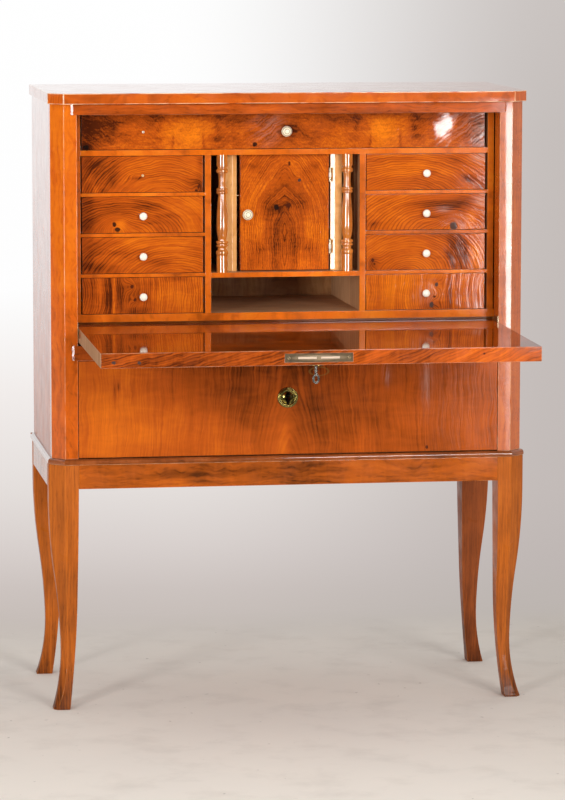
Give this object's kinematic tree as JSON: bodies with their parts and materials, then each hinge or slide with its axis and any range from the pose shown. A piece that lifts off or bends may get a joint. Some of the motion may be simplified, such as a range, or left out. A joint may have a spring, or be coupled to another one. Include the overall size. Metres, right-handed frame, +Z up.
{
  "type": "fall front secretaire",
  "caption": "Fall front secretaire on sabre legs: hinged writing fall, gallery of small drawers, cupboard between turned columns, locked drawer below.",
  "frame": {"origin": "on the floor, under the middle of the space taken with the fall open", "axes": "+Z up, +X to the object's right as seen from the front, -Y to the front"},
  "size_m": [0.9652, 0.8286, 1.23],
  "materials": {
    "case_wood": "french polished solid wood and straight veneer",
    "veneer": "french polished figured veneer",
    "gallery_wood": "polished light solid wood",
    "inner_wood": "plain unpolished secondary wood",
    "bone": "turned bone, polished",
    "brass": "aged brass",
    "steel": "worn bright steel"
  },
  "bodies": {
    "case": {"top_board": "case_wood", "case_side_left": "case_wood", "case_side_right": "case_wood", "corner_posts": "case_wood", "top_rail": "case_wood", "fall_rest_rail": "case_wood", "aprons": "case_wood", "stand_moulding": "case_wood", "front_left_leg": "case_wood", "front_right_leg": "case_wood", "back_left_leg": "case_wood", "back_right_leg": "case_wood", "gallery_uprights": "gallery_wood", "gallery_shelves": "gallery_wood", "cupboard_case": "gallery_wood", "columns": "gallery_wood", "carcase_boards": "inner_wood", "back_boards": "inner_wood", "brass_fittings": "brass"},
    "left_drawer_1": {"left_drawer_1_front": "veneer", "left_drawer_1_box": "inner_wood", "left_drawer_1_peg": "inner_wood"},
    "left_drawer_2": {"left_drawer_2_front": "veneer", "left_drawer_2_box": "inner_wood", "left_drawer_2_knob": "bone"},
    "left_drawer_3": {"left_drawer_3_front": "veneer", "left_drawer_3_box": "inner_wood", "left_drawer_3_knob": "bone"},
    "left_drawer_4": {"left_drawer_4_front": "veneer", "left_drawer_4_box": "inner_wood", "left_drawer_4_knob": "bone"},
    "right_drawer_1": {"right_drawer_1_front": "veneer", "right_drawer_1_box": "inner_wood", "right_drawer_1_knob": "bone"},
    "right_drawer_2": {"right_drawer_2_front": "veneer", "right_drawer_2_box": "inner_wood", "right_drawer_2_knob": "bone"},
    "right_drawer_3": {"right_drawer_3_front": "veneer", "right_drawer_3_box": "inner_wood", "right_drawer_3_knob": "bone"},
    "right_drawer_4": {"right_drawer_4_front": "veneer", "right_drawer_4_box": "inner_wood", "right_drawer_4_knob": "bone"},
    "top_drawer": {"top_drawer_front": "veneer", "top_drawer_box": "inner_wood", "top_drawer_knob": "bone"},
    "lower_drawer": {"lower_drawer_front": "veneer", "lower_drawer_box": "inner_wood", "lower_drawer_lock": "brass", "lower_drawer_escutcheon": "brass"},
    "lower_drawer_bolt": {"lower_drawer_bolt": "steel"},
    "fall": {"fall_panel": "veneer", "fall_lock": "brass", "fall_hinge_arms": "brass", "fall_escutcheon": "brass"},
    "fall_key": {"fall_key": "steel"},
    "fall_lock_bolt": {"fall_lock_bolt": "steel"},
    "door": {"door_panel": "veneer", "door_knob": "bone", "door_hinge_leaves": "brass"}
  },
  "joints": [
    {"name": "left_drawer_1_slide", "type": "slide", "parent": "case", "child": "left_drawer_1", "axis": [0, -1, 0], "range_m": [0, 0.24]},
    {"name": "left_drawer_2_slide", "type": "slide", "parent": "case", "child": "left_drawer_2", "axis": [0, -1, 0], "range_m": [0, 0.24]},
    {"name": "left_drawer_3_slide", "type": "slide", "parent": "case", "child": "left_drawer_3", "axis": [0, -1, 0], "range_m": [0, 0.24]},
    {"name": "left_drawer_4_slide", "type": "slide", "parent": "case", "child": "left_drawer_4", "axis": [0, -1, 0], "range_m": [0, 0.24]},
    {"name": "right_drawer_1_slide", "type": "slide", "parent": "case", "child": "right_drawer_1", "axis": [0, -1, 0], "range_m": [0, 0.24]},
    {"name": "right_drawer_2_slide", "type": "slide", "parent": "case", "child": "right_drawer_2", "axis": [0, -1, 0], "range_m": [0, 0.24]},
    {"name": "right_drawer_3_slide", "type": "slide", "parent": "case", "child": "right_drawer_3", "axis": [0, -1, 0], "range_m": [0, 0.24]},
    {"name": "right_drawer_4_slide", "type": "slide", "parent": "case", "child": "right_drawer_4", "axis": [0, -1, 0], "range_m": [0, 0.24]},
    {"name": "top_drawer_slide", "type": "slide", "parent": "case", "child": "top_drawer", "axis": [0, -1, 0], "range_m": [0, 0.24]},
    {"name": "lower_drawer_slide", "type": "slide", "parent": "case", "child": "lower_drawer", "axis": [0, -1, 0], "range_m": [0, 0.3]},
    {"name": "lower_drawer_bolt_slide", "type": "slide", "parent": "lower_drawer", "child": "lower_drawer_bolt", "axis": [0, 0, 1], "range_m": [0, 0.007]},
    {"name": "fall_hinge", "type": "hinge", "parent": "case", "child": "fall", "pos_m": [0, 0.01538, 0.75713], "axis": [1, 0, 0], "range_deg": [-90.7, 0]},
    {"name": "fall_key_turn", "type": "hinge", "parent": "fall", "child": "fall_key", "pos_m": [-0.008, -0.37811, 0.74797], "axis": [0, 0.0122, -0.9999], "range_deg": [0, 180]},
    {"name": "fall_bolt_slide", "type": "slide", "parent": "fall", "child": "fall_lock_bolt", "axis": [0, -0.9999, -0.0122], "range_m": [0, 0.008]},
    {"name": "door_hinge", "type": "hinge", "parent": "case", "child": "door", "pos_m": [0.0933, 0.07328, 0.985], "axis": [0, 0, 1], "range_deg": [0, 95]}
  ],
  "couplings": [
    {"joint": "fall_key_turn", "follows": "fall_bolt_slide", "rad_per_m": 392.69}
  ]
}
